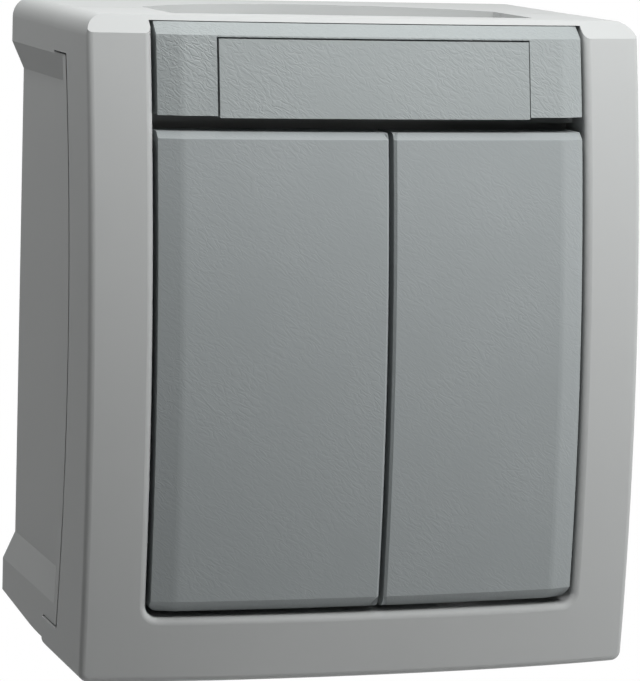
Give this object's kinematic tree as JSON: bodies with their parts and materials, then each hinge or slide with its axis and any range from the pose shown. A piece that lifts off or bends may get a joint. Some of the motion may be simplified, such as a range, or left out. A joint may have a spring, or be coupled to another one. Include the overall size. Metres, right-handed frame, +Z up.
{
  "type": "light switch",
  "caption": "Surface-mounted rocker light switch in a crowned damp-room housing, with a label field above tilting rockers, snap contacts inside and sealed cable entries.",
  "frame": {"origin": "middle of the wall screw pattern, on the flat wall face of the rear box", "axes": "+X to the right seen from the room, +Y into the wall, +Z up"},
  "size_m": [0.0664, 0.0459, 0.0759],
  "materials": {
    "housing": "satin light grey",
    "rocker": "fine leather grain, mid grey",
    "label": "fine leather grain, mid grey",
    "gasket": "matt",
    "seal": "matt",
    "insulator": "matt dark grey",
    "brass": "rolled strip",
    "contact": "silver alloy",
    "screw": "zinc plated"
  },
  "bodies": {
    "housing": {"rear_box": "housing", "front_cover": "housing", "cover_gasket": "gasket", "entry_seal_top": "seal", "entry_seal_bottom": "seal", "label_holder": "rocker", "label_cover": "label", "mechanism_base": "insulator", "bearing_plate": "insulator", "common_terminal": "brass", "output_terminal_left": "brass", "output_terminal_right": "brass", "fixed_contacts": "contact", "terminal_clamps": "screw", "terminal_screws": "screw", "mechanism_screws": "screw", "cover_screws": "screw"},
    "left_rocker": {"rocker_left": "rocker", "toggle_left": "insulator", "plunger_spring_left": "screw"},
    "left_plunger": {"plunger_left": "insulator"},
    "left_contact": {"contact_lever_left": "brass", "moving_contact_left": "contact"},
    "right_rocker": {"rocker_right": "rocker", "toggle_right": "insulator", "plunger_spring_right": "screw"},
    "right_plunger": {"plunger_right": "insulator"},
    "right_contact": {"contact_lever_right": "brass", "moving_contact_right": "contact"}
  },
  "joints": [
    {"name": "rocker_left_tilt", "type": "hinge", "parent": "housing", "child": "left_rocker", "pos_m": [-0.0121, -0.0365, -0.0023], "axis": [1, 0, 0], "range_deg": [-4, 4]},
    {"name": "plunger_left_travel", "type": "slide", "parent": "left_rocker", "child": "left_plunger", "axis": [0, 1, 0], "range_m": [-0.0003, 0], "stiffness_N_per_m": 400, "springref_m": 0.001, "deforming": ["plunger_spring_left"]},
    {"name": "contact_left_tilt", "type": "hinge", "parent": "housing", "child": "left_contact", "pos_m": [-0.0121, -0.0252, -0.0023], "axis": [1, 0, 0], "range_deg": [-6, 6]},
    {"name": "rocker_right_tilt", "type": "hinge", "parent": "housing", "child": "right_rocker", "pos_m": [0.01371, -0.0365, -0.0023], "axis": [1, 0, 0], "range_deg": [-4, 4]},
    {"name": "plunger_right_travel", "type": "slide", "parent": "right_rocker", "child": "right_plunger", "axis": [0, 1, 0], "range_m": [-0.0003, 0], "stiffness_N_per_m": 400, "springref_m": 0.001, "deforming": ["plunger_spring_right"]},
    {"name": "contact_right_tilt", "type": "hinge", "parent": "housing", "child": "right_contact", "pos_m": [0.01371, -0.0252, -0.0023], "axis": [1, 0, 0], "range_deg": [-6, 6]}
  ],
  "couplings": [
    {"joint": "contact_left_tilt", "follows": "rocker_left_tilt", "ratio": -1.5},
    {"joint": "contact_right_tilt", "follows": "rocker_right_tilt", "ratio": -1.5}
  ]
}
